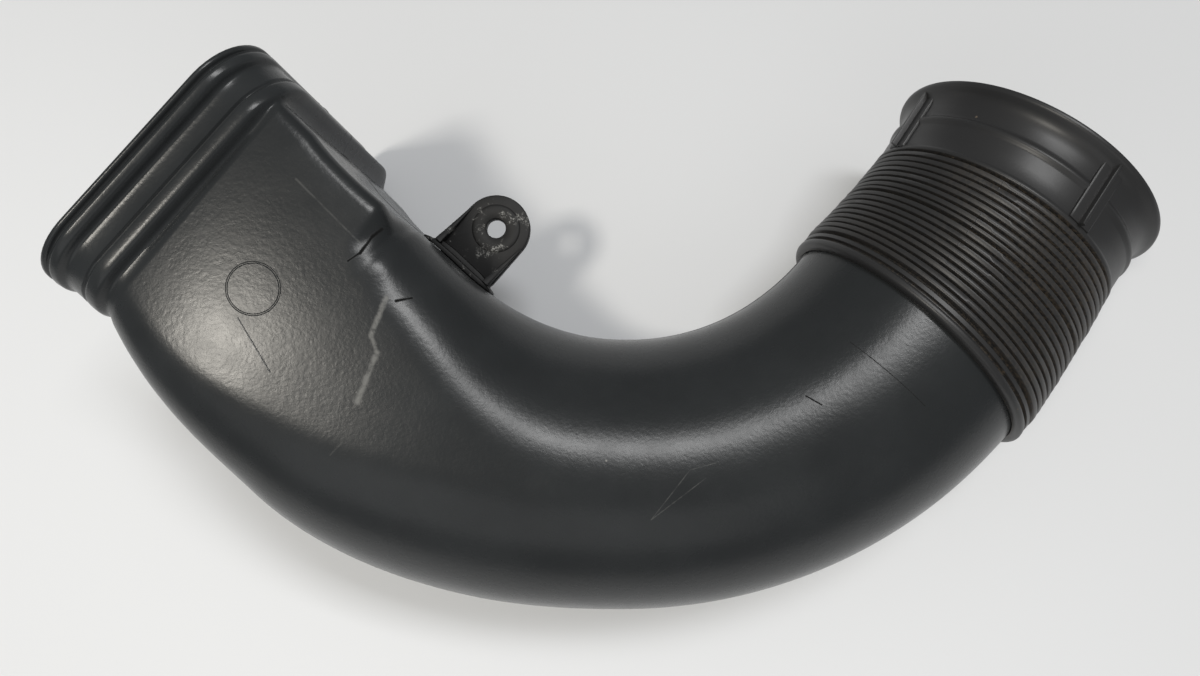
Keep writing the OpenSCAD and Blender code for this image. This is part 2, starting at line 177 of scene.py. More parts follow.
class DuctShape:
    """The duct's middle line and sections, in the bend's own frame, in metres."""

    RIM_ANGLE = math.radians(197.3)
    HEIGHT_SHARE = 0.8
    WIDTH_SHARE = 0.34
    CORNER_SHARE = 0.44
    SKEW_SHARE = 0.33
    SWELL_SHARE = 0.295
    BELLY_SHARE = 0.3
    OUT_SHARE = 0.23
    RIDGE_END_SHARE = 0.165
    RIDGE_GONE_SHARE = 0.195
    FLANK_END_SHARE = 0.54
    # The straight ridge and the pinch where it runs out, in millimetres from the bend's centre
    RIDGE = (Vector((-109.8, -18.1)), Vector((-78.5, -49.4)))
    CREASE = (Vector((-78.0, -45.0)), Vector((-85.5, -56.5)))
    CREASE_DEPTH, CREASE_WIDTH = 0.8, 2.0
    BULGE_HEIGHT, BULGE_WIDTH, BULGE_AWAY = 1.2, 6.0, Vector((5.6, -5.6))

    def __init__(self, settings):
        self.s = settings
        self.pipe_r = settings.pipe_diameter / 2
        self.box_w = settings.mouth_width - 2 * settings.side_step
        self.box_h = settings.mouth_height - 2 * settings.rim_step
        self.box_r = settings.mouth_corner - settings.rim_step / 2

    def turn(self, u):
        return self.RIM_ANGLE + self.s.bend_turn * u

    def middle(self, u):
        out = self.s.run_out * fade(u / self.OUT_SHARE) + self.s.belly * hump(u, self.BELLY_SHARE)
        return (self.s.bend_radius + out) * toward(self.turn(u))

    def heading(self, u):
        return self.turn(u) + self.s.mouth_skew * fade(u / self.SKEW_SHARE)

    def half_w(self, u):
        grown = (self.box_w / 2 - self.pipe_r) * fade(u / self.WIDTH_SHARE)
        return self.pipe_r + grown + self.s.swell * hump(u, self.SWELL_SHARE)

    def half_h(self, u):
        return self.pipe_r + (self.box_h / 2 - self.pipe_r) * fade(u / self.HEIGHT_SHARE)

    def corner(self, u):
        box_share = self.box_r / (self.box_w / 2)
        return min(self.half_w(u), self.half_h(u)) * mix(1, box_share, fade(u / self.CORNER_SHARE))

    def inner_corner(self, u):
        """Radius of the edges on the hollow side, where the flank stays full for longer."""
        full = min(self.half_w(u), self.half_h(u))
        start = self.RIDGE_GONE_SHARE
        grown = fade((u - start) / (self.FLANK_END_SHARE - start))
        return min(self.corner(u), mix(full, self.s.flank_radius, grown))

    def ridge(self, u):
        """Share of the ridge in the section, from 1 along the box to 0 past the pinch."""
        return fade((u - self.RIDGE_END_SHARE) / (self.RIDGE_GONE_SHARE - self.RIDGE_END_SHARE))

    def hollow_side(self, centre, heading, half_w, skin):
        """Half width on the hollow side, which keeps along the straight ridge, and the cut under it."""
        start, end = self.RIDGE
        along = end - start
        across = toward(heading).xy
        away = start - centre.xy / MM
        offset = -away.cross(along) / across.cross(along) * MM
        inner_w = min(half_w, offset + self.s.ridge_inset - skin)
        return inner_w, max(0.65 * self.s.ridge_radius, inner_w - offset - 0.25 * self.s.ridge_radius)

    def pinch(self, place):
        """How far the skin stands out at a place, in millimetres: a groove with a swelling beyond it."""
        level = place.xy / MM
        start, end = self.CREASE
        away = []
        for shift in (Vector((0, 0)), self.BULGE_AWAY):
            span = end - start
            share = clamp((level - start - shift).dot(span) / span.length_squared)
            away.append((level - start - shift - share * span).length)
        groove = self.CREASE_DEPTH * math.exp(-((away[0] / self.CREASE_WIDTH) ** 2))
        swelling = self.BULGE_HEIGHT * math.exp(-((away[1] / self.BULGE_WIDTH) ** 2))
        return (swelling - groove) * fade(2 - abs(place.z) / MM / 25)

    def crown(self, u):
        return self.s.crown * fade(u / 0.26)

    def drop(self, u):
        return self.s.flank_drop * hump(u, self.SWELL_SHARE)

    def mouth_out(self):
        return toward(self.heading(0) - math.pi / 2)

    def mouth_centre(self):
        return self.middle(0) + self.s.rim_length * self.mouth_out()

    def pipe_end(self):
        """Centre of the pipe's end, its outward heading and the way out of it."""
        return self.middle(1), self.turn(1), toward(self.turn(1) + math.pi / 2)

    def inner_wall(self, u):
        return self.middle(u) - self.half_w(u) * toward(self.heading(u))

    def along_wall(self, u, step):
        """The way along the inner wall, and the way that faces off it."""
        along = (self.inner_wall(u + step) - self.inner_wall(u - step)).normalized()
        return along, Vector((-along.y, along.x, 0))


# Samples of each quarter of a section: two close rows carry the parting line's ridge
QUARTER_STEPS = 44
SEAM_STEP = 0.005
QUARTER = [0, SEAM_STEP, 2 * SEAM_STEP] + [k / QUARTER_STEPS for k in range(1, QUARTER_STEPS)]


def rounded(half_w, half_h, cut, radius, t):
    """Point at a share t of the way round a quarter of a section, from the side's middle.

    The corner is one round, or is cut at 45 degrees and has a round at both its edges.
    """
    rounds = 2 if cut else 1
    turn = math.pi / 2 / rounds
    tangent = radius * math.tan(turn / 2)
    runs = [half_h - cut - tangent, half_w - cut - tangent]
    if cut:
        runs.insert(1, cut * math.sqrt(2) - 2 * tangent)
    way = t * (sum(runs) + rounds * turn * radius)
    x, z, angle = half_w, 0.0, 0.0
    for run in runs[:-1]:
        if way < run:
            break
        way -= run
        x, z = x - run * math.sin(angle) - radius * math.cos(angle), z + run * math.cos(angle) - radius * math.sin(angle)
        if way < turn * radius:
            angle += way / radius
            return x + radius * math.cos(angle), z + radius * math.sin(angle)
        way -= turn * radius
        angle += turn
        x, z = x + radius * math.cos(angle), z + radius * math.sin(angle)
    return x - way * math.sin(angle), z + way * math.cos(angle)


def outline(
    half_w, half_h, outer_r, inner_r=None, crown=0.0, seam=0.0, inner_w=None, ridge=0.0, cut=0.0, edge=0.0, drop=0.0
):
    """Section outline as (across, up), from the middle of the outer side."""
    inner_r = outer_r if inner_r is None else inner_r
    inner_w = half_w if inner_w is None else inner_w

    def raised(x, z, wide, lift):
        broad = max(0.0, 1 - (x / wide) ** 2)
        return x + lift, z + crown * broad * (z / half_h) ** 4

    def inside(t):
        x, z = rounded(inner_w, half_h, 0, inner_r, t)
        if ridge:
            cut_x, cut_z = rounded(inner_w, half_h, cut, edge, t)
            x, z = mix(x, cut_x, ridge), mix(z, cut_z, ridge)
        z -= drop * (x / inner_w) ** 2 * (z / half_h) ** 4
        return raised(x, z, inner_w, seam if t == 0 else 0)

    outer = [raised(*rounded(half_w, half_h, 0, outer_r, t), half_w, seam if t == 0 else 0) for t in QUARTER]
    inner = [inside(t) for t in QUARTER]
    points = outer + [(0, half_h + crown)]
    points += [(-x, z) for x, z in reversed(inner[1:])]
    points += [(-x, -z) for x, z in inner]
    points += [(0, -half_h - crown)]
    points += [(x, -z) for x, z in reversed(outer[1:])]
    return points


def stand(centre, heading, points):
    return [centre + x * toward(heading) + upward(z) for x, z in points]


# Outside of the rim: depth behind the mouth in millimetres, share of the step in to the duct
LIP_AND_BEAD = [
    (0, 0.07), (0.15, 0.02), (0.45, 0), (1.3, 0), (1.6, 0.04), (1.8, 0.14), (2.0, 0.22), (2.3, 0.24),
    (2.6, 0.18), (3.0, 0.1), (3.5, 0.045), (4.0, 0.02), (4.5, 0.035), (5.0, 0.055), (5.5, 0.078), (6.0, 0.11),
    (6.4, 0.18), (6.8, 0.33), (7.1, 0.45), (7.5, 0.52), (8.2, 0.55), (9.6, 0.56), (11.6, 0.56), (13.4, 0.54), (13.9, 0.53),
    (14.2, 0.58), (14.5, 0.63), (14.9, 0.63), (15.2, 0.58), (15.5, 0.51), (16.0, 0.5), (17.6, 0.5),
    (19.0, 0.52), (19.7, 0.57), (20.2, 0.68), (20.7, 0.84), (21.2, 0.95), (21.9, 1),
]
RIM_INSIDE = [(0, 0.07), (1.5, 0.1), (6.2, 0.26), (9, 0.5), (14, 0.56), (18.5, 0.56), (21, 1)]
# Shares of the bend that have a section: close together at the box's ridge
BEND_SHARES = [0.0125 + 0.0045 * k for k in range(60)] + [0.2825 + 0.0103 * k for k in range(1, 70)] + [1]


def first_ring(bm, ring, filled):
    """The first outline of a skin, and the layer that numbers its points."""
    mark = bm.verts.layers.int.get("point") or bm.verts.layers.int.new("point")
    verts = bmesh.ops.create_circle(bm, cap_ends=filled, segments=len(ring), radius=1)["verts"]
    for i, v in enumerate(verts):
        v[mark] = i
        v.co = ring[i]
    return verts, mark


def kind(grown, wanted):
    return [g for g in grown["geom"] if isinstance(g, wanted)]


def loft(name, rings, gaps=None):
    """A closed skin through rings of equal count, whose last ring joins the first."""
    bm = bmesh.new()
    layer = bm.verts.layers.float.new("gap")
    verts, mark = first_ring(bm, rings[0], False)
    start = edges = list(bm.edges)
    for number, ring in enumerate(rings):
        if number:
            edges = [e for e in kind(bmesh.ops.extrude_edge_only(bm, edges=edges), bmesh.types.BMEdge) if e.is_boundary]
            verts = {v for e in edges for v in e.verts}
        for v in verts:
            v.co = ring[v[mark]]
            v[layer] = gaps[number] if gaps else 0.0
    bmesh.ops.bridge_loops(bm, edges=start + edges)
    return finish_mesh(name, bm)


def sweep(bm, sections, edge):
    """A capped solid through outlines of equal count, with its sharp edges bevelled."""
    first, mark = first_ring(bm, sections[0], True)
    face = first[0].link_faces[0]
    made = set(first)
    for section in sections[1:]:
        grown = bmesh.ops.extrude_face_region(bm, geom=[face])
        fresh = set(kind(grown, bmesh.types.BMVert))
        for v in fresh:
            v.co = section[v[mark]]
        face = next(f for f in kind(grown, bmesh.types.BMFace) if fresh.issuperset(f.verts))
        made |= fresh
    bevel_sharp(bm, made, edge)


def bevel_sharp(bm, verts, offset):
    bm.normal_update()
    edges = {e for v in verts for e in v.link_edges if e.other_vert(v) in verts}
    edges = [e for e in edges if e.is_manifold and e.calc_face_angle(0) > math.radians(40)]
    bmesh.ops.bevel(bm, geom=edges, offset=offset, affect="EDGES", segments=2, profile=0.5, material=-1)


def finish_mesh(name, bm, sharp=50):
    """Makes an object of a bmesh: faces outward, smooth but for its sharp edges, seated in the frame."""
    bmesh.ops.recalc_face_normals(bm, faces=list(bm.faces))
    bm.normal_update()
    for face in bm.faces:
        face.smooth = True
    for edge in bm.edges:
        edge.smooth = not (edge.is_manifold and edge.calc_face_angle(0) > math.radians(sharp))
    bm.transform(to_rest())
    mesh = bpy.data.meshes.new(name)
    bm.to_mesh(mesh)
    bm.free()
    piece = bpy.data.objects.new(name, mesh)
    bpy.context.scene.collection.objects.link(piece)
    return piece


def rest_matrix(duct, ear):
    """Places the bend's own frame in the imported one, from the mouth's and the ear's mounts."""
    mounts = {m["name"]: m for m in frame["record"]["mounts"]}
    up = Vector(mounts["ear_hole"]["axis"]).normalized()
    out = Vector(mounts["mouth_face"]["axis"])
    out = (out - out.dot(up) * up).normalized()
    packed = Matrix((out, up.cross(out), up)).transposed()
    own_out = duct.mouth_out()
    own_up = Vector((0, 0, 1))
    own = Matrix((own_out, own_up.cross(own_out), own_up)).transposed()
    turn = packed @ own.transposed()
    seat, along, facing = ear_seat(duct, ear)
    hole = seat + ear.reach * facing
    shift = Vector(mounts["ear_hole"]["pos_m"]) - turn @ hole
    return Matrix.Translation(shift) @ turn.to_4x4()


def to_rest():
    scene = bpy.context.scene
    return rest_matrix(DuctShape(scene.intake_duct), scene.intake_ear)


SEAT_STEP = 1 / 40
FOOT_STEP = 0.004


def ear_seat(duct, ear):
    """The ear's seat on the inner wall, the way along the duct and the way that the ear faces."""
    u = ear.turn / duct.s.bend_turn
    return duct.inner_wall(u), *duct.along_wall(u, SEAT_STEP)


class Nodes:
    """Short hand for building a shader or a node group."""

    def __init__(self, tree):
        self.tree = tree

    def add(self, type_name, *first, **named):
        """A new node, with values or links for its first sockets and for its named ones."""
        node = self.tree.nodes.new(type_name)
        for key, value in [*enumerate(first), *named.items()]:
            self.put(value, node.inputs[key])
        return node

    def put(self, value, socket):
        if isinstance(value, bpy.types.NodeSocket):
            self.tree.links.new(value, socket)
        else:
            socket.default_value = value

    def math(self, operation, a, b=0.0, clamped=False):
        node = self.add("ShaderNodeMath", a, b, 0.0)
        node.operation = operation
        node.use_clamp = clamped
        return node.outputs[0]

    def plus(self, a, b, clamped=False):
        return self.math("ADD", a, b, clamped)

    def minus(self, a, b):
        return self.math("SUBTRACT", a, b)

    def times(self, a, b):
        return self.math("MULTIPLY", a, b)

    def most(self, a, b):
        return self.math("MAXIMUM", a, b)

    def vector(self, operation, a, b=(0, 0, 0), output=0):
        node = self.add("ShaderNodeVectorMath", a, b)
        node.operation = operation
        return node.outputs[output]

    def height(self, place):
        return self.add("ShaderNodeSeparateXYZ", place).outputs["Z"]

    def smooth(self, value, low, high):
        node = self.add("ShaderNodeMapRange", value, low, high)
        node.interpolation_type = "SMOOTHSTEP"
        node.clamp = True
        return node.outputs["Result"]

    def mix_colour(self, share, a, b):
        node = self.add("ShaderNodeMix", share)
        node.data_type = "RGBA"
        for value, socket in ((a, node.inputs[6]), (b, node.inputs[7])):
            self.put((*value, 1) if isinstance(value, (tuple, list)) and len(value) == 3 else value, socket)
        return node.outputs[2]

    def noise(self, vector, scale, detail=3.0, roughness=0.55, distortion=0.0):
        inputs = {"Vector": vector, "Scale": scale, "Detail": detail, "Roughness": roughness, "Distortion": distortion}
        return self.add("ShaderNodeTexNoise", **inputs).outputs["Fac"]

    def use(self, name, **inputs):
        """A named effect, whose node group is made when it is first wanted."""
        makers = {"leathery_grain": grain_group, "specks": speck_group, "stroke": stroke_group}
        tree = bpy.data.node_groups.get(name) or makers[name]()
        node = self.tree.nodes.new("ShaderNodeGroup")
        node.node_tree = tree
        for key, value in inputs.items():
            self.put(value, node.inputs[key])
        return node.outputs[0]


def new_group(name, output, **inputs):
    """A shader node group that reads a place. The other inputs are numbers or places, as their defaults are."""
    tree = bpy.data.node_groups.new(name, "ShaderNodeTree")
    for key, default in {"Vector": (0, 0, 0), **inputs}.items():
        kind_name = "NodeSocketVector" if isinstance(default, tuple) else "NodeSocketFloat"
        tree.interface.new_socket(key, in_out="INPUT", socket_type=kind_name).default_value = default
    tree.interface.new_socket(output, in_out="OUTPUT", socket_type="NodeSocketFloat")
    return tree, Nodes(tree), tree.nodes.new("NodeGroupInput").outputs, tree.nodes.new("NodeGroupOutput").inputs[0]


def grain_group():
    """Leathery grain of a blasted mould: a height from 0 to 1."""
    tree, n, start, end = new_group("leathery_grain", "Height", Scale=900.0)
    vector, scale = start["Vector"], start["Scale"]
    fine = n.noise(vector, scale, 3.0, 0.6, 0.6)
    coarse = n.noise(vector, n.times(scale, 0.3), 2.0, 0.5, 1.2)
    pebble = n.add("ShaderNodeTexVoronoi", Vector=vector, Scale=n.times(scale, 0.8))
    pebble.feature = "SMOOTH_F1"
    height = n.plus(n.times(fine, 0.5), n.times(coarse, 0.35))
    height = n.plus(height, n.times(pebble.outputs["Distance"], 0.3))
    n.put(height, end)
    return tree


def speck_group():
    """Small pale specks of dust and chalk, as a mask."""
    tree, n, start, end = new_group("specks", "Mask", Scale=90.0, Amount=0.3, Size=0.05)
    vector = start["Vector"]
    cells = n.add("ShaderNodeTexVoronoi", Vector=vector, Scale=start["Scale"])
    picked = n.add("ShaderNodeSeparateColor", Color=cells.outputs["Color"])
    chosen = n.math("LESS_THAN", picked.outputs["Red"], start["Amount"])
    size = n.times(start["Size"], n.plus(picked.outputs["Green"], 0.25))
    ragged = n.noise(vector, 2600.0, 2.0)
    away = n.plus(cells.outputs["Distance"], n.times(n.minus(ragged, 0.5), 0.06))
    dot = n.math("LESS_THAN", away, size)
    n.put(n.times(dot, chosen), end)
    return tree


def stroke_group():
    """A stroke between two places, seen from above, as a ragged mask: for rubs, and for painted shade along a crease.
    """
    tree, n, start, end = new_group(
        "stroke", "Mask", From=(0, 0, 0), To=(0.01, 0, 0), Width=0.001, Ragged=0.5
    )
    level = n.vector("MULTIPLY", start["Vector"], (1, 1, 0))
    a = n.vector("MULTIPLY", start["From"], (1, 1, 0))
    b = n.vector("MULTIPLY", start["To"], (1, 1, 0))
    span = n.vector("SUBTRACT", b, a)
    away = n.vector("SUBTRACT", level, a)
    along = n.math("DIVIDE", n.vector("DOT_PRODUCT", away, span, 1), n.vector("DOT_PRODUCT", span, span, 1), True)
    foot = n.add("ShaderNodeVectorMath", span)
    foot.operation = "SCALE"
    n.put(along, foot.inputs["Scale"])
    gap = n.vector("LENGTH", n.vector("SUBTRACT", away, foot.outputs[0]), output=1)
    torn = n.noise(start["Vector"], 260.0, 6.0, 0.8)
    edge = n.times(start["Width"], n.plus(torn, 0.15))
    inside = n.smooth(n.math("DIVIDE", gap, edge), 1.0, 0.1)
    above = n.smooth(n.height(start["Vector"]), 0.05, 0.06)
    worn = n.minus(1.0, n.times(start["Ragged"], n.smooth(torn, 0.55, 0.4)))
    n.put(n.times(n.times(inside, above), worn), end)
    return tree


def new_material(name):
    material = bpy.data.materials.new(name)
    material.use_nodes = True
    material.node_tree.nodes.clear()
    n = Nodes(material.node_tree)
    end = n.add("ShaderNodeOutputMaterial")
    shader = n.add("ShaderNodeBsdfPrincipled")
    n.put(shader.outputs[0], end.inputs["Surface"])
    place = n.add("ShaderNodeTexCoord").outputs["Object"]
    return material, n, shader, place


def bump(n, shader, height, strength, distance, after=None):
    node = n.add("ShaderNodeBump", Strength=strength, Distance=distance, Height=height)
    if after is not None:
        n.put(after, node.inputs["Normal"])
    n.put(node.outputs["Normal"], shader.inputs["Normal"])
    return node.outputs["Normal"]


def camera_place():
    """Where the photograph was taken from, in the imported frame: place, view and up."""
    placed = to_rest()
    eye = placed @ (CAMERA_OVER * MM)
    turn = placed.to_3x3()
    tilt = math.radians(CAMERA_TILT)
    view = turn @ Vector((0, math.sin(tilt), -math.cos(tilt)))
    up = turn @ Vector((0, math.cos(tilt), math.sin(tilt)))
    return eye, view, up


# The camera stands over the hollow of the bend, in millimetres from the bend's centre
CAMERA_OVER = Vector((-11.42, -98.86, 311.4))
CAMERA_TILT = 2.8
CAMERA_FOCUS_PIXELS = 813
SENSOR_WIDTH = 36


def seen_at(piece, x, y):
    """The place on a piece that shows at a pixel of the photograph."""
    eye, view, up = camera_place()
    ray = view * CAMERA_FOCUS_PIXELS + view.cross(up) * (x - IMAGE_WIDTH / 2) - up * (y - IMAGE_HEIGHT / 2)
    found, place, normal, face = piece.ray_cast(eye, ray.normalized())
    if not found:
        raise RuntimeError("nothing shows at pixel " + str((x, y)))
    return place


# Rubs on the duct: start and end pixel, width in millimetres, strength
RUBS = [
    ((386, 298), (371, 336), 1.9, 0.5),
    ((371, 336), (377, 352), 1.3, 0.42),
    ((377, 352), (357, 402), 2.0, 0.5),
    ((651, 520), (690, 470), 0.35, 0.2),
    ((690, 470), (716, 463), 0.35, 0.2),
    ((651, 520), (706, 478), 0.35, 0.2),
    ((296, 179), (327, 210), 0.7, 0.14),
    ((327, 210), (360, 243), 0.7, 0.14),
    ((330, 455), (342, 443), 0.6, 0.12),
]
# Painted shade along the crease at the pinch, and nicks: start and end pixel, width in millimetres
CREASE_SHADE_AND_NICKS = [
    ((382, 229), (372, 237), 1.3),
    ((372, 237), (360, 253), 1.0),
    ((360, 253), (348, 261), 0.8),
    ((396, 301), (412, 298), 0.9),
    ((850, 342), (925, 406), 0.3),
    ((806, 396), (822, 405), 0.5),
]
MARK_PIXEL = (253, 288.5)
MARK_RADIUS = 8.0
MARK_LINE = ((238, 318), (270, 372))


def duct_material(settings, piece):
    material, n, shader, place = new_material("duct_plastic")

    def stroke(start, finish, width, ragged):
        ends = {"From": seen_at(piece, *start), "To": seen_at(piece, *finish)}
        return n.use("stroke", Vector=place, **ends, Width=width * MM, Ragged=ragged)

    grain = n.use("leathery_grain", Vector=place, Scale=900.0)
    cloud = n.noise(place, 22.0, 4.0, 0.6)
    smudge = n.noise(place, 70.0, 5.0, 0.65)
    scuffed = 0.0
    for start, finish, width, strength in RUBS:
        scuffed = n.most(scuffed, n.times(stroke(start, finish, width, 0.7), strength))
    specks = n.use("specks", Vector=place, Scale=95.0, Amount=0.13, Size=0.034)
    scuffed = n.most(scuffed, n.times(specks, 0.8))
    base = n.mix_colour(n.smooth(cloud, 0.35, 0.75), tuple(settings.colour), tuple(c * 1.3 for c in settings.colour))
    base = n.mix_colour(scuffed, base, tuple(settings.scuff_colour))
    # Mask of the painted shade in the crease at the pinch, and of the nicks
    crease_shade_and_nicks = 0.0
    for start, finish, width in CREASE_SHADE_AND_NICKS:
        crease_shade_and_nicks = n.most(crease_shade_and_nicks, stroke(start, finish, width, 0.1))
    # Painted shade: the colour goes near black in the crease at the pinch and in the nicks
    n.put(n.mix_colour(crease_shade_and_nicks, base, (0.002, 0.002, 0.002)), shader.inputs["Base Color"])
    n.put(0.28, shader.inputs["Specular IOR Level"])
    rough = n.plus(0.2, n.times(smudge, 0.14))
    rough = n.plus(rough, n.times(scuffed, 0.3))
    rough = n.plus(rough, n.times(crease_shade_and_nicks, 0.8), True)
    n.put(rough, shader.inputs["Roughness"])
    centre = seen_at(piece, *MARK_PIXEL)
    away = n.vector("MULTIPLY", n.vector("SUBTRACT", place, centre), (1, 1, 0))
    ring = n.math("ABSOLUTE", n.minus(n.vector("LENGTH", away, output=1), MARK_RADIUS * MM))
    upper = n.smooth(n.height(place), 0.08, 0.09)
    groove = n.times(n.smooth(ring, 0.0004, 0.0001), upper)
    groove = n.most(groove, n.times(stroke(*MARK_LINE, 0.35, 0.2), 0.2))
    normal = bump(n, shader, grain, 0.3, 0.0002)
    normal = bump(n, shader, n.minus(1.0, groove), 0.9, 0.0004, normal)
    bump(n, shader, smudge, 0.08, 0.0006, normal)
    return material


def hose_material(settings):
    material, n, shader, place = new_material("hose_rubber")
    gap = n.add("ShaderNodeAttribute")
    gap.attribute_name = "gap"
    depth = gap.outputs["Fac"]
    cloud = n.noise(place, 45.0, 4.0, 0.6)
    crumbs = n.noise(place, 900.0, 3.0, 0.7)
    xyz = n.add("ShaderNodeSeparateXYZ", Vector=place)
    far_side = n.smooth(xyz.outputs["X"], 0.095, 0.16)
    near_share = n.plus(0.2, n.times(far_side, 0.8))
    dirt = n.times(n.times(depth, near_share), n.smooth(crumbs, 0.42, 0.62))
    film = n.times(n.times(n.smooth(cloud, 0.4, 0.7), 0.3), near_share)
    film = n.times(film, n.smooth(crumbs, 0.35, 0.6))
    film = n.times(film, n.smooth(depth, 0.02, 0.1))
    dirt = n.most(dirt, film)
    specks = n.use("specks", Vector=place, Scale=120.0, Amount=0.3, Size=0.05)
    dirt = n.most(dirt, n.times(specks, 0.7))
    base = n.mix_colour(dirt, tuple(settings.colour), tuple(settings.dirt_colour))
    n.put(base, shader.inputs["Base Color"])
    n.put(0.35, shader.inputs["Specular IOR Level"])
    rough = n.plus(0.32, n.times(cloud, 0.14))
    n.put(n.plus(rough, n.times(dirt, 0.4), True), shader.inputs["Roughness"])
    normal = bump(n, shader, n.noise(place, 1400.0, 3.0), 0.12, 0.0001)
    bump(n, shader, cloud, 0.1, 0.0008, normal)
    return material


def ear_material(settings):
    material, n, shader, place = new_material("ear_plastic")
    cloud = n.noise(place, 160.0, 5.0, 0.7)
    crumbs = n.noise(place, 1500.0, 3.0, 0.7)
    residue = n.times(n.smooth(cloud, 0.54, 0.66), n.smooth(crumbs, 0.45, 0.6))
    base = n.mix_colour(n.times(residue, 0.6), tuple(settings.colour), tuple(settings.residue_colour))
    n.put(base, shader.inputs["Base Color"])
    n.put(0.22, shader.inputs["Specular IOR Level"])
    n.put(n.plus(0.42, n.times(cloud, 0.25)), shader.inputs["Roughness"])
    normal = bump(n, shader, n.noise(place, 1200.0, 4.0), 0.25, 0.00015)
    bump(n, shader, residue, 0.3, 0.0002, normal)
    return material


def give(piece, material, slot, *replaced):
    piece.data.materials.append(material)
    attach(piece, "root")
    if replaced:
        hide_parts(*replaced)


class DuctOperator(bpy.types.Operator):
    """Lofts the blow moulded duct through its rim, its bend and its necked end"""

    bl_idname = "intake_pipe.duct"
    bl_label = "Duct body"

    def execute(self, context):
        s = context.scene.intake_duct
        d = DuctShape(s)
        rings = []
        for depth, share in LIP_AND_BEAD:
            rings.append(self.rim_ring(d, depth * MM, share, 0, s.seam))
        for u in BEND_SHARES:
            rings.append(self.bend_ring(d, u, 0, s.seam))
        centre, turn, way = d.pipe_end()
        neck_r = d.pipe_r - s.neck_in
        bore = neck_r - s.wall
        for along, radius in ((3.15, d.pipe_r), (4.5, neck_r), (s.spigot_length / MM, neck_r),
                              (s.spigot_length / MM, bore), (5, bore)):
            rings.append(stand(centre + along * MM * way, turn + LIP_TILT, outline(radius, radius, radius * 0.999)))
        for u in reversed(BEND_SHARES[::2]):
            rings.append(self.bend_ring(d, u, s.wall, 0))
        for depth, share in reversed(RIM_INSIDE):
            rings.append(self.rim_ring(d, depth * MM, share, s.wall, 0))
        duct = loft("duct_shell", rings)
        context.view_layer.update()
        give(duct, duct_material(s, duct), "duct", "duct_body")
        return {"FINISHED"}

    def rim_ring(self, d, depth, share, skin, seam):
        s = d.s
        half_w = s.mouth_width / 2 - s.side_step * share - skin
        radius = mix(s.mouth_corner, d.box_r, share) - skin
        centre = d.mouth_centre() - depth * d.mouth_out()
        side_w, cut = d.hollow_side(centre, d.heading(0), half_w, skin)
        inner_w = mix(half_w, side_w, max(0, 2 * share - 1) ** 2)
        points = outline(
            half_w, s.mouth_height / 2 - s.rim_step * share - skin, radius, radius, 0, seam,
            inner_w, max(0, 2 * share - 1) ** 2, cut, s.ridge_radius,
        )
        return stand(centre, d.heading(0), points)

    def bend_ring(self, d, u, skin, seam):
        s = d.s
        half_w, half_h = d.half_w(u) - skin, d.half_h(u) - skin
        middle, tilt = d.middle(u), LIP_TILT * (1 - fade((u - 0.85) / 0.15))
        inner_w, cut = d.hollow_side(middle, d.heading(u), half_w, skin) if d.ridge(u) else (half_w, 0)
        most = min(half_w, half_h) * 0.999
        outer_r = min(most, d.corner(u) - skin)
        inner_r = min(most, inner_w * 0.999, d.inner_corner(u) - skin)
        points = outline(
            half_w, half_h, outer_r, inner_r, d.crown(u), seam, inner_w, d.ridge(u), cut, s.ridge_radius, d.drop(u)
        )
        ring = stand(middle, d.heading(u) + tilt, points)
        if u < 0.3:
            for i, place in enumerate(ring):
                ring[i] = place + d.pinch(place) * MM * (place - middle).normalized()
        return ring


# The hose sits askew on the pipe: turn of its lip and of its open end, and how far the lip is pushed up
LIP_TILT = math.radians(-4.8)
OPEN_END_TILT = math.radians(-4.6)
LIP_SHIFT = 1.6 * MM
CUFF_SHIFT = 3.6 * MM


class HoseShape:
    """The hose's middle line: straight lip, corrugations along an arc, straight cuff."""

    CREST_SHARE = 0.64
    NARROW_SHARE = 0.7

    def __init__(self, settings, duct):
        self.s = settings
        self.start, self.turn, self.way = duct.pipe_end()
        self.rib_r = duct.pipe_r + settings.fit_gap + settings.grip_wall
        self.bellows = settings.length - settings.grip_length - settings.cuff_length
        self.fold_r = self.bellows / settings.bend
        self.fold_centre = self.start + settings.grip_length * self.way - self.fold_r * toward(self.turn)
        self.pitch = self.bellows / settings.rib_count

    def station(self, along):
        """Centre of the hose and its turn, at a distance from the lip."""
        s = self.s
        root = s.length - s.cuff_length
        tilt = mix(LIP_TILT, OPEN_END_TILT, min(1, along / root))
        pulled = along / root if along < root else (s.length - along) / s.cuff_length
        along += LIP_SHIFT * fade(along / root) - CUFF_SHIFT * pulled
        if along <= s.grip_length:
            return self.start + along * self.way, self.turn + tilt
        turn = self.turn + s.bend * self.share(along)
        centre = self.fold_centre + self.fold_r * toward(turn)
        beyond = max(0, along - s.grip_length - self.bellows)
        return centre + beyond * toward(turn + math.pi / 2), turn + tilt

    def share(self, along):
        """Share of the corrugations that is behind a distance from the lip."""
        return clamp((along - self.s.grip_length) / self.bellows)

    def radius_at(self, along):
        return self.rib_r - self.s.rib_taper * self.share(along)

    def away(self, turn, angle):
        """The way out of the hose at an angle round it."""
        return math.cos(angle) * toward(turn) + upward(math.sin(angle))


ROUND_STEPS = 168


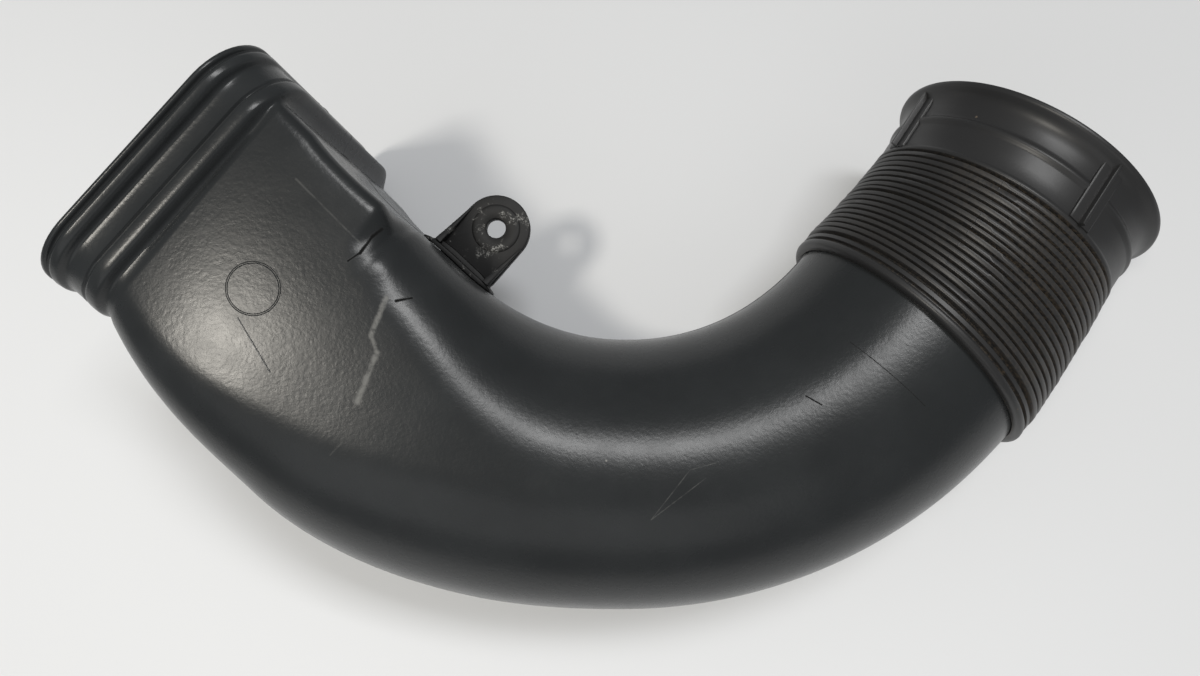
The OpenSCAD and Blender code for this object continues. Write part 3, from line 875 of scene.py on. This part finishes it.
class HoseOperator(bpy.types.Operator):
    """Lofts the hose: thick lip, flat-topped corrugations, and the cuff with its bead and flare"""

    bl_idname = "intake_pipe.hose"
    bl_label = "Corrugated hose"

    def execute(self, context):
        s = context.scene.intake_hose
        d = DuctShape(context.scene.intake_duct)
        h = HoseShape(s, d)
        profile = self.lip(h) + self.ribs(h) + self.cuff(h) + self.bore(h, d)
        rings = [self.ring(h, along, radius, wobble) for along, radius, gap, wobble in profile]
        hose = loft("hose_skin", rings, [gap for along, radius, gap, wobble in profile])
        give(hose, hose_material(s), "hose", "bellows_hose")
        return {"FINISHED"}

    def ring(self, h, along, radius, wobble):
        centre, turn = h.station(along)
        points = []
        for k in range(ROUND_STEPS):
            a = 2 * math.pi * k / ROUND_STEPS
            uneven = wobble * noise.noise(Vector((math.cos(a) * 2.5, math.sin(a) * 2.5, along * 400)))
            points.append(centre + (radius + uneven) * h.away(turn, a))
        return points

    def lip(self, h):
        rows = ((0, 2.1, 0), (0.1, 1.4, 0), (0.35, 0.9, 0), (0.7, 0.4, 0), (1.1, 0.12, 0), (1.6, 0, 0), (2.4, 0, 0),
                (2.9, 0.1, 0), (3.2, 0.42, 0.2), (3.45, 0.85, 0.4), (3.7, 1.6, 1), (4.4, 1.6, 1), (4.5, 0.5, 0.3),
                (4.65, 0.25, 0), (6.1, 0.25, 0), (6.25, 0.5, 0.3), (6.35, 1.6, 1))
        return [(along * MM, h.rib_r - inward * MM, gap, 0.06 * MM) for along, inward, gap in rows]

    def ribs(self, h):
        s = h.s
        crest = h.pitch * h.CREST_SHARE
        wide = math.ceil(s.rib_count / 2)
        edge = 0.13 * MM
        uneven = random.Random(7)
        profile = []
        for i in range(s.rib_count):
            end = s.grip_length + (i + 1) * h.pitch
            length = crest * (h.NARROW_SHARE if i == wide else uneven.uniform(0.93, 1.07))
            start = end - length
            r = h.radius_at(s.grip_length + i * h.pitch) - uneven.uniform(0, 0.22) * MM
            root = r - s.gap_depth
            before = s.grip_length + i * h.pitch
            rows = ((before + 0.05 * MM, root + 0.3 * MM, 1), (before + 0.25 * MM, root, 1),
                    (start - 0.2 * MM, root, 1), (start - 0.02 * MM, root + 0.3 * MM, 1),
                    (start, r - edge, 0.3), (start + edge, r, 0.12), (end - edge, r, 0.12), (end, r - edge, 0.3))
            profile += [(along, radius, gap, 0.14 * MM if gap < 0.5 else 0) for along, radius, gap in rows]
        return profile

    def cuff(self, h):
        s = h.s
        base = h.rib_r - s.rib_taper
        band = base - s.gap_depth * 0.2
        flare = band + s.flare_out
        start = s.length - s.cuff_length
        root = base - s.gap_depth
        rows = (
            (0.1, root + 0.3 * MM, 1), (0.3, root, 1), (1.0, root, 1), (1.15, base - 0.3 * MM, 0.3),
            (1.4, base, 0), (2.2, base, 0), (2.6, base - 0.25 * MM, 0), (3.2, band, 0), (7, band, 0), (11, band, 0),
            (11.6, band + 0.1 * MM, 0), (12.1, band + 0.55 * MM, 0), (12.7, band + 0.8 * MM, 0),
            (13.3, band + 0.8 * MM, 0), (13.8, band + 0.5 * MM, 0), (14.3, band + 0.1 * MM, 0), (15, band, 0),
            (18, band, 0), (20, band + 0.3 * MM, 0), (21.4, band + 1.0 * MM, 0), (22.4, band + 2.0 * MM, 0),
            (23.2, flare - 0.5 * MM, 0), (23.6, flare - 0.15 * MM, 0), (24, flare, 0), (24.7, flare, 0),
            (24.92, flare - 0.1 * MM, 0), (25, flare - 0.35 * MM, 0),
        )
        return [(start + along * MM, radius, gap, 0.05 * MM) for along, radius, gap in rows]

    def bore(self, h, d):
        s = h.s
        base = h.rib_r - s.rib_taper
        bore = base - s.gap_depth * 0.2 - s.cuff_wall
        rows = [(s.length, bore + 1.9 * MM), (s.length - 0.3 * MM, bore + 1.5 * MM), (s.length - 2.4 * MM, bore)]
        cuff_root = s.length - s.cuff_length
        rows += [(cuff_root + 2.2 * MM, bore), (cuff_root + 2.1 * MM, base - s.gap_depth - s.fold_wall)]
        for i in range(s.rib_count - 1, 0, -1):
            along = s.grip_length + i * h.pitch
            inside = h.radius_at(along) - s.gap_depth - s.fold_wall
            rows += [(along + 0.4 * h.pitch, inside + 0.9 * MM), (along, inside)]
        inner = d.pipe_r + s.fit_gap
        rows += [(s.grip_length * 0.8, d.pipe_r - s.fold_wall), (s.grip_length * 0.6, inner), (0, inner)]
        return [(along, radius, 0.6, 0) for along, radius in rows]


class FinsOperator(bpy.types.Operator):
    """Stands the four locating fins and their pads on the cuff"""

    bl_idname = "intake_pipe.fins"
    bl_label = "Cuff fins"

    COUNT = 4
    PHASE = 13
    PAD_HALF_ANGLE = 5.5

    def execute(self, context):
        s = context.scene.intake_hose
        h = HoseShape(s, DuctShape(context.scene.intake_duct))
        band = h.rib_r - s.rib_taper - s.gap_depth * 0.2
        start = s.length - s.cuff_length
        first, last = start + 2.6 * MM, start + 23 * MM
        tall = band + s.flare_out - 0.7 * MM
        bm = bmesh.new()
        for i in range(self.COUNT):
            a = math.radians(90 - self.PHASE - i * 360 / self.COUNT)
            self.slab(bm, h, a, 0.6 * MM / band, first, last, band - 0.8 * MM, tall, 0.3 * MM, 2)
            half = math.radians(self.PAD_HALF_ANGLE) / 2
            for side in (1, -1):
                self.slab(bm, h, a + side * half, half, first, last, band - 0.8 * MM, band + 0.95 * MM, 0.6 * MM, 6)
        self.ticks(bm, h)
        fins = finish_mesh("cuff_fins", bm, 40)
        give(fins, bpy.data.materials["hose_rubber"], "hose")
        return {"FINISHED"}

    def ticks(self, bm, h):
        """Flash of the mould's parting line across the ribs."""
        s = h.s
        for i in range(s.rib_count):
            end = s.grip_length + (i + 1) * h.pitch
            r = h.radius_at(end)
            first = end - h.pitch * h.CREST_SHARE * 0.95
            self.slab(bm, h, math.radians(110), 0.16 * MM / r, first, end - 0.1 * MM, r - 0.5 * MM, r + 0.12 * MM, 0.05 * MM, 1)

    def slab(self, bm, h, middle, half, first, last, low, high, edge, steps):
        """A block on the cuff's curved skin, between two distances along it."""
        made = bmesh.ops.create_grid(bm, x_segments=steps, y_segments=8, size=1)["verts"]
        faces = list({f for v in made for f in v.link_faces})
        upper = set(kind(bmesh.ops.extrude_face_region(bm, geom=faces), bmesh.types.BMVert))
        lower = {v for v in made if v.is_valid}
        for v in upper | lower:
            angle = middle + v.co.x * half
            along = mix(first, last, (v.co.y + 1) / 2)
            centre, turn = h.station(along)
            v.co = centre + (high if v in upper else low) * h.away(turn, angle)
        bevel_sharp(bm, upper, edge)


class EarOperator(bpy.types.Operator):
    """Builds the screw ear: plate with its collar and hole, two webs and the foot on the duct"""

    bl_idname = "intake_pipe.ear"
    bl_label = "Mounting ear"

    STEPS = 96

    def execute(self, context):
        s = context.scene.intake_ear
        d = DuctShape(context.scene.intake_duct)
        seat, along, facing = ear_seat(d, s)
        place = Matrix((facing, along * -1, Vector((0, 0, 1)))).transposed().to_4x4()
        place = Matrix.Translation(seat) @ place
        rings = self.plate_rings(s, place)
        material = ear_material(s)
        plate = loft("ear_plate", rings)
        give(plate, material, "ear", "mounting_ear")
        bm = bmesh.new()
        self.webs(bm, s, place)
        give(finish_mesh("ear_webs", bm, 35), material, "ear")
        bm = bmesh.new()
        self.foot(bm, s, d)
        give(finish_mesh("ear_foot", bm, 35), material, "ear")
        return {"FINISHED"}

    def tab_root(self, s):
        """Where the tab ends in the foot, measured from the hole, and the lean of its straight sides."""
        root_x = 0.15 * MM + s.foot_thickness / 2 - s.reach
        return root_x, math.asin((s.foot_length * 0.4 - s.end_radius) / -root_x)

    def tab_point(self, s, angle):
        """Where a ray from the hole's centre leaves the tab's outline, as (x, y) from the hole."""
        root_x, fall = self.tab_root(s)
        ray = Vector((math.cos(angle), math.sin(angle)))
        if abs(angle) <= math.pi / 2 - fall:
            return ray * s.end_radius
        side = Vector((math.sin(fall), math.copysign(math.cos(fall), ray.y)))
        far = s.end_radius / max(1e-9, ray.dot(side))
        if ray.x < 0:
            far = min(far if far > 0 else 1, root_x / ray.x)
        return ray * far

    def plate_rings(self, s, place):
        half = s.thickness / 2
        collar = s.end_radius * 0.7
        rise = s.thickness * 0.14
        hole = s.hole_diameter / 2
        rounds = ((hole + 0.3 * MM, -half), (hole, -half + 0.3 * MM), (hole, half + rise - 0.3 * MM),
                  (hole + 0.3 * MM, half + rise), (collar - 1.2 * MM, half + rise), (collar - 0.5 * MM, half + rise - 0.1 * MM),
                  (collar, half + rise * 0.5), (collar + 0.2 * MM, half))
        rims = ((0.5, half), (0.15, half - 0.15 * MM), (0, half - 0.5 * MM), (0, -half + 0.5 * MM), (0.5, -half))
        rings = []
        angles = [-math.pi + 2 * math.pi * (k + 0.5) / self.STEPS for k in range(self.STEPS)]
        for radius, z in rounds:
            rings.append([place @ Vector((s.reach + radius * math.cos(a), radius * math.sin(a), z)) for a in angles])
        for inset, z in rims:
            ring = []
            for a in angles:
                point = self.tab_point(s, a)
                point = point * (1 - inset * MM / point.length)
                ring.append(place @ Vector((s.reach + point.x, point.y, z)))
            rings.append(ring)
        return rings

    def webs(self, bm, s, place):
        """Two wedges along the tab's edges, from the round end down to the foot."""
        root_x, fall = self.tab_root(s)
        for side in (-1, 1):
            sections = []
            for share in (0, 0.25, 0.5, 0.75, 1):
                x = mix(root_x, s.end_radius * math.sin(fall), share)
                outer = (s.end_radius - x * math.sin(fall)) / math.cos(fall) - 0.25 * MM
                inner = outer - mix(2.6 * MM, 0.7 * MM, share)
                top = mix(s.foot_height / 2, s.thickness / 2 + 0.3 * MM, share ** 0.8)
                corners = ((outer, 0), (outer, top), (inner, top), (inner, 0))
                sections.append([place @ Vector((s.reach + x, side * y, z)) for y, z in corners])
            sweep(bm, sections, 0.3 * MM)

    def foot(self, bm, s, d):
        u = s.turn / d.s.bend_turn
        span = 0.04 * s.foot_length / (d.inner_wall(u + 0.02) - d.inner_wall(u - 0.02)).length
        near = 0.15 * MM
        steps = 24
        # The foot, then the thicker strip that stands on it
        for length, thick, height in ((1, 0.55, 0.5), (0.86, 1, 0.36)):
            sections = []
            for k in range(steps + 1):
                place = 2 * k / steps - 1
                round_end = max(0.12, (1 - abs(place) ** 5)) ** 0.5
                at = u + span * length * place / 2
                along, facing = d.along_wall(at, FOOT_STEP)
                top = s.foot_height * height * mix(0.55, 1, round_end)
                out = near + (s.foot_thickness * thick - near) * round_end
                corners = ((near, -top), (out, -top), (out, top), (near, top))
                sections.append([d.inner_wall(at) + x * facing + upward(z) for x, z in corners])
            sweep(bm, sections, 0.4 * MM)


class StageOperator(bpy.types.Operator):
    """Lays the pale table, hangs the two soft lights and sets the camera as the photograph has it"""

    bl_idname = "intake_pipe.stage"
    bl_label = "Stage"

    def execute(self, context):
        s = context.scene.intake_stage
        self.floor(s)
        self.panel("window", (0.25, 0.25, 0.935), (0.94, -0.34, 0), 1.7, (0.75, 0.28), s.window_power)
        self.panel("ceiling", (-0.345, -0.142, 0.928), (1, 0, 0), 1.65, (0.22, 0.22), s.ceiling_power, (1, 0.95, 0.86))
        self.panel("fill", (-0.1, -0.75, 0.65), (1, 0, 0), 2, (2.4, 1.2), s.fill_power)
        self.world(context.scene, s)
        self.camera(context.scene)
        return {"FINISHED"}

    def floor(self, s):
        bm = bmesh.new()
        bmesh.ops.create_grid(bm, x_segments=1, y_segments=1, size=4)
        mesh = bpy.data.meshes.new("table")
        bm.to_mesh(mesh)
        bm.free()
        table = bpy.data.objects.new("table", mesh)
        bpy.context.scene.collection.objects.link(table)
        material, n, shader, place = new_material("table_white")
        # Painted light falloff: the table is painted paler on one side and darker on the other, grading across it, as
        # the light falls off
        far = n.vector("DOT_PRODUCT", place, (0.45, 0.9, 0), 1)
        colour = tuple(s.floor_colour)
        lit_floor_paint = tuple(min(1, c * 1.08) for c in colour)
        shaded_floor_paint = tuple(c * 0.87 for c in colour)
        n.put(n.mix_colour(n.smooth(far, -0.2, 0.3), lit_floor_paint, shaded_floor_paint), shader.inputs["Base Color"])
        n.put(0.6, shader.inputs["Roughness"])
        table.data.materials.append(material)

    def panel(self, name, direction, along, distance, size, power, colour=(1, 1, 1)):
        lamp = bpy.data.lights.new(name, "AREA")
        lamp.color = colour
        lamp.shape = "RECTANGLE"
        lamp.size, lamp.size_y = size
        lamp.energy = power
        hung = bpy.data.objects.new(name, lamp)
        way = Vector(direction).normalized()
        level = (Vector(along) - Vector(along).dot(way) * way).normalized()
        turn = Matrix((level, way.cross(level), way)).transposed()
        hung.matrix_world = Matrix.Translation(way * distance) @ turn.to_4x4()
        bpy.context.scene.collection.objects.link(hung)

    def world(self, scene, s):
        world = bpy.data.worlds.new("pale_room")
        scene.world = world
        world.use_nodes = True
        world.node_tree.nodes.clear()
        n = Nodes(world.node_tree)
        end = n.add("ShaderNodeOutputWorld")
        path = n.add("ShaderNodeLightPath")
        room = n.add("ShaderNodeBackground", Color=(1, 0.99, 0.97, 1), Strength=s.ambient)
        dim = n.add("ShaderNodeBackground", Color=(0.85, 0.93, 1, 1), Strength=s.reflected)
        pale = n.add("ShaderNodeBackground", Color=(0.78, 0.79, 0.79, 1), Strength=1.0)
        glossy = n.add("ShaderNodeMixShader", path.outputs["Is Glossy Ray"], room.outputs[0], dim.outputs[0])
        seen = n.add("ShaderNodeMixShader", path.outputs["Is Camera Ray"], glossy.outputs[0], pale.outputs[0])
        n.put(seen.outputs[0], end.inputs["Surface"])

    def camera(self, scene):
        data = bpy.data.cameras.new("camera")
        data.sensor_width = SENSOR_WIDTH
        data.lens = SENSOR_WIDTH * CAMERA_FOCUS_PIXELS / IMAGE_WIDTH
        data.clip_start = 0.01
        camera = bpy.data.objects.new("camera", data)
        eye, view, up = camera_place()
        turn = Matrix((view.cross(up), up, -view)).transposed()
        camera.matrix_world = Matrix.Translation(eye) @ turn.to_4x4()
        scene.collection.objects.link(camera)
        scene.camera = camera
        scene.view_settings.view_transform = "Standard"


class IntakePanel(bpy.types.Panel):
    """Sizes, colours and build steps of the intake pipe"""

    bl_idname = "VIEW3D_PT_intake_pipe"
    bl_label = "Intake pipe"
    bl_space_type = "VIEW_3D"
    bl_region_type = "UI"
    bl_category = "Intake pipe"

    def draw(self, context):
        for group_name, settings, operators in (
            ("Duct", context.scene.intake_duct, ("duct",)),
            ("Hose", context.scene.intake_hose, ("hose", "fins")),
            ("Ear", context.scene.intake_ear, ("ear",)),
            ("Stage", context.scene.intake_stage, ("stage",)),
        ):
            box = self.layout.box()
            box.label(text=group_name)
            for key in settings.bl_rna.properties.keys():
                if key not in {"rna_type", "name"}:
                    box.prop(settings, key)
            for operator in operators:
                box.operator("intake_pipe." + operator)


SETTINGS = {
    "intake_duct": DuctSettings,
    "intake_ear": EarSettings,
    "intake_hose": HoseSettings,
    "intake_stage": StageSettings,
}
CLASSES = (
    DuctSettings, EarSettings, HoseSettings, StageSettings,
    DuctOperator, HoseOperator, FinsOperator, EarOperator, StageOperator, IntakePanel,
)


def register():
    for cls in CLASSES:
        bpy.utils.register_class(cls)
    for name, cls in SETTINGS.items():
        setattr(bpy.types.Scene, name, PointerProperty(type=cls))


def unregister():
    for name in SETTINGS:
        delattr(bpy.types.Scene, name)
    for cls in reversed(CLASSES):
        bpy.utils.unregister_class(cls)


def main():
    register()
    bpy.ops.intake_pipe.duct()
    bpy.ops.intake_pipe.hose()
    bpy.ops.intake_pipe.fins()
    bpy.ops.intake_pipe.ear()
    bpy.ops.intake_pipe.stage()


if __name__ == "__main__":
    main()
